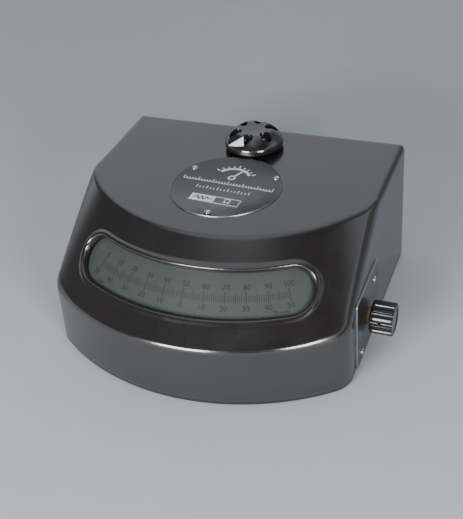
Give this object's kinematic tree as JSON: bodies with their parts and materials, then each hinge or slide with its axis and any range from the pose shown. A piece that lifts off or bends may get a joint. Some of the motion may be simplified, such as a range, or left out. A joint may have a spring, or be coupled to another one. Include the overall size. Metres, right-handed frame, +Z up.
{
  "type": "spot reflecting galvanometer",
  "caption": "Bench galvanometer in a moulded case with a curved scale window, a range switch on top and a zero adjuster on the side; the moving coil, lamp and scale are inside",
  "frame": {"origin": "on the bench surface, under the middle of the case; the case's rim and base plate stand 1.5 mm above it on rubber feet", "axes": "+X to the instrument's right as its user faces the scale, +Y to its back, +Z up; metres"},
  "size_m": [0.251, 0.2386, 0.1215],
  "materials": {
    "case_moulding": "glossy black phenolic moulding",
    "base_board": "plain black laminated board",
    "base_screw_steel": "zinc plated",
    "foot_rubber": "black rubber",
    "plate_black": "printed black plate with a thin bright edge",
    "chrome_screws": "polished round heads",
    "side_plate_black": "satin black",
    "side_screws_steel": "polished round heads",
    "knob_moulding": "glossy black moulding with a white pointer",
    "knob_small_moulding": "glossy black moulding",
    "brass": "turned and left bare",
    "steel": "bright drawn steel",
    "bracket_steel": "grey stove enamel",
    "tyre_rubber": "grey rubber",
    "scale_celluloid": "translucent grey green with black graduations",
    "carrier_metal": "plain sheet",
    "wafer_board": "varnished laminated paper",
    "contact_silver": "silver plated",
    "rotor_moulding": "cream moulding",
    "movement_casting": "as cast",
    "magnet": "ground magnet alloy",
    "pole_iron": "machined soft iron",
    "former": "thin sheet",
    "coil_wire": "enamelled copper wire",
    "stem": "drawn rod",
    "mirror_glass": "front silvered",
    "strip_bronze": "rolled bronze strip",
    "lamp_black": "matt black inside and out",
    "bulb_glass": "clear",
    "lens_glass": "polished",
    "lamination": "varnished laminations",
    "coil_tape": "varnished tape over copper wire",
    "terminal_insulator": "black moulding",
    "terminal_brass": "plated brass",
    "terminal_red": "red moulding",
    "terminal_black": "black moulding",
    "inlet_moulding": "black moulding",
    "pin_metal": "plated brass",
    "bobbin": "wire wound spools under green varnish"
  },
  "bodies": {
    "instrument": {"base_plate": "base_board", "base_screws": "base_screw_steel", "case_cover": "case_moulding", "condenser_lens": "lens_glass", "core_bracket": "steel", "field_magnet": "magnet", "graticule": "lamp_black", "inlet_pins": "pin_metal", "iron_core": "steel", "lamp_bracket": "bracket_steel", "lamp_bulb": "bulb_glass", "lamp_holder": "brass", "lamp_house": "lamp_black", "lower_anchor": "brass", "mains_inlet": "inlet_moulding", "movement_base": "movement_casting", "name_plate": "plate_black", "name_plate_screws": "chrome_screws", "pole_pieces": "pole_iron", "range_bush": "brass", "range_nut": "brass", "resistor_board": "wafer_board", "rubber_feet": "foot_rubber", "scale_guides": "bracket_steel", "shunt_bobbins": "bobbin", "side_plate": "side_plate_black", "side_plate_screws": "side_screws_steel", "suspension_bridge": "carrier_metal", "switch_contacts": "contact_silver", "switch_plate": "steel", "switch_spacers": "steel", "switch_wafer": "wafer_board", "terminal_bases": "terminal_insulator", "terminal_studs": "terminal_brass", "torsion_head": "brass", "transformer_coil": "coil_tape", "transformer_core": "lamination", "zero_bracket": "bracket_steel", "zero_bush": "brass", "zero_nut": "brass"},
    "range_switch": {"range_knob": "knob_moulding", "range_knob_grub": "steel", "range_shaft": "steel", "detent_wheel": "steel", "switch_rotor": "rotor_moulding"},
    "zero_adjuster": {"zero_knob": "knob_small_moulding", "zero_knob_grub": "steel", "zero_shaft": "steel", "zero_roller": "brass", "roller_tyre": "tyre_rubber"},
    "scale": {"scale_screen": "scale_celluloid", "scale_carrier": "carrier_metal", "scale_arm": "carrier_metal"},
    "moving_coil": {"coil_former": "former", "coil_winding": "coil_wire", "coil_stem": "stem", "coil_mirror": "mirror_glass", "suspension_strips": "strip_bronze"},
    "terminal_left": {"terminal_head_left": "terminal_red"},
    "terminal_right": {"terminal_head_right": "terminal_black"}
  },
  "joints": [
    {"name": "range_turn", "type": "hinge", "parent": "instrument", "child": "range_switch", "pos_m": [0, 0.0772, 0.1], "axis": [0, 0, 1], "range_deg": [-90, 60]},
    {"name": "scale_turn", "type": "hinge", "parent": "instrument", "child": "scale", "pos_m": [0, 0.063, 0.07], "axis": [0, 0, 1], "range_deg": [-2.5, 2.5]},
    {"name": "zero_turn", "type": "hinge", "parent": "instrument", "child": "zero_adjuster", "pos_m": [0.1, -0.0154, 0.0284], "axis": [1, 0, 0], "range_deg": [-42, 42]},
    {"name": "coil_swing", "type": "hinge", "parent": "instrument", "child": "moving_coil", "pos_m": [0, 0.066, 0.03], "axis": [0, 0, 1], "range_deg": [-8, 8], "stiffness_Nm_per_rad": 0.0001},
    {"name": "terminal_left_turn", "type": "hinge", "parent": "instrument", "child": "terminal_left", "pos_m": [0.0485, 0.119, 0.034], "axis": [0, 1, 0], "continuous": true},
    {"name": "terminal_right_turn", "type": "hinge", "parent": "instrument", "child": "terminal_right", "pos_m": [0.0675, 0.119, 0.034], "axis": [0, 1, 0], "continuous": true}
  ],
  "couplings": [
    {"joint": "zero_turn", "follows": "scale_turn", "ratio": -16.333}
  ]
}
